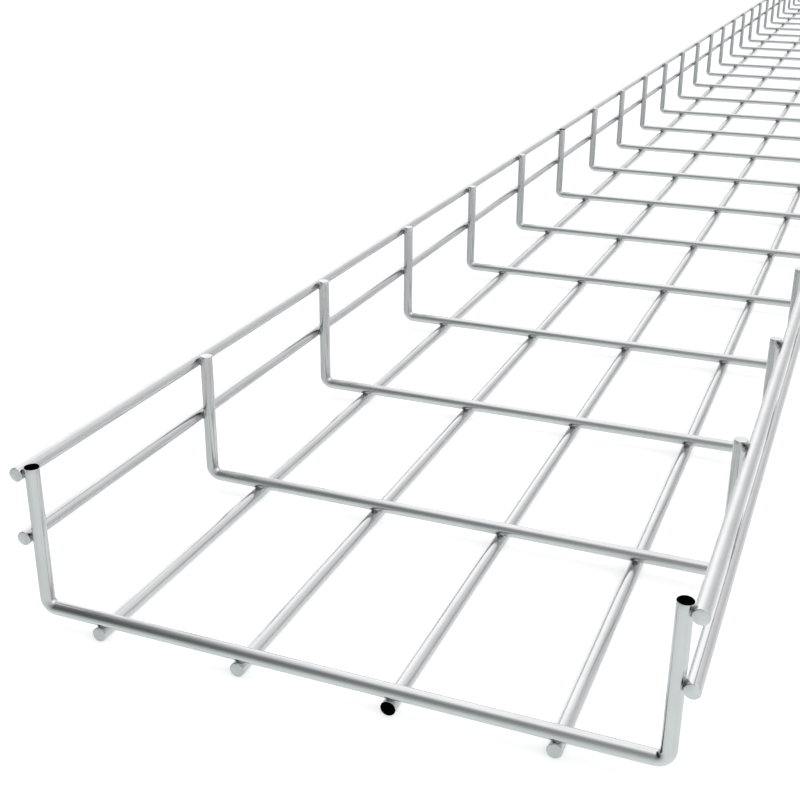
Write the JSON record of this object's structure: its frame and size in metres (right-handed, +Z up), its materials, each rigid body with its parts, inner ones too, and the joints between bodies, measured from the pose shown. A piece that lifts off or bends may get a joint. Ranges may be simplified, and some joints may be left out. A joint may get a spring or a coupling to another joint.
{
  "type": "wire mesh cable basket",
  "caption": "Straight stock length of U-shaped wire mesh cable basket, round galvanised steel wires welded where they cross.",
  "frame": {"origin": "on the level floor, under the middle of the basket: halfway across, halfway along", "axes": "+X across the basket, +Y along the basket away from the near end, +Z up through the open top"},
  "size_m": [0.203, 3.005, 0.054],
  "materials": {
    "galvanised_wire": "bright zinc-galvanised drawn steel wire, satin, faint drawing lines"
  },
  "bodies": {
    "root": {"cross_wire_01": "galvanised_wire", "cross_wire_02": "galvanised_wire", "cross_wire_03": "galvanised_wire", "cross_wire_04": "galvanised_wire", "cross_wire_05": "galvanised_wire", "cross_wire_06": "galvanised_wire", "cross_wire_07": "galvanised_wire", "cross_wire_08": "galvanised_wire", "cross_wire_09": "galvanised_wire", "cross_wire_10": "galvanised_wire", "cross_wire_11": "galvanised_wire", "cross_wire_12": "galvanised_wire", "cross_wire_13": "galvanised_wire", "cross_wire_14": "galvanised_wire", "cross_wire_15": "galvanised_wire", "cross_wire_16": "galvanised_wire", "cross_wire_17": "galvanised_wire", "cross_wire_18": "galvanised_wire", "cross_wire_19": "galvanised_wire", "cross_wire_20": "galvanised_wire", "cross_wire_21": "galvanised_wire", "cross_wire_22": "galvanised_wire", "cross_wire_23": "galvanised_wire", "cross_wire_24": "galvanised_wire", "cross_wire_25": "galvanised_wire", "cross_wire_26": "galvanised_wire", "cross_wire_27": "galvanised_wire", "cross_wire_28": "galvanised_wire", "cross_wire_29": "galvanised_wire", "cross_wire_30": "galvanised_wire", "cross_wire_31": "galvanised_wire", "base_wire_1": "galvanised_wire", "base_wire_2": "galvanised_wire", "base_wire_3": "galvanised_wire", "base_wire_4": "galvanised_wire", "side_wire_left_lower": "galvanised_wire", "side_wire_left_upper": "galvanised_wire", "side_wire_right_lower": "galvanised_wire", "side_wire_right_upper": "galvanised_wire"}
  },
  "joints": []
}
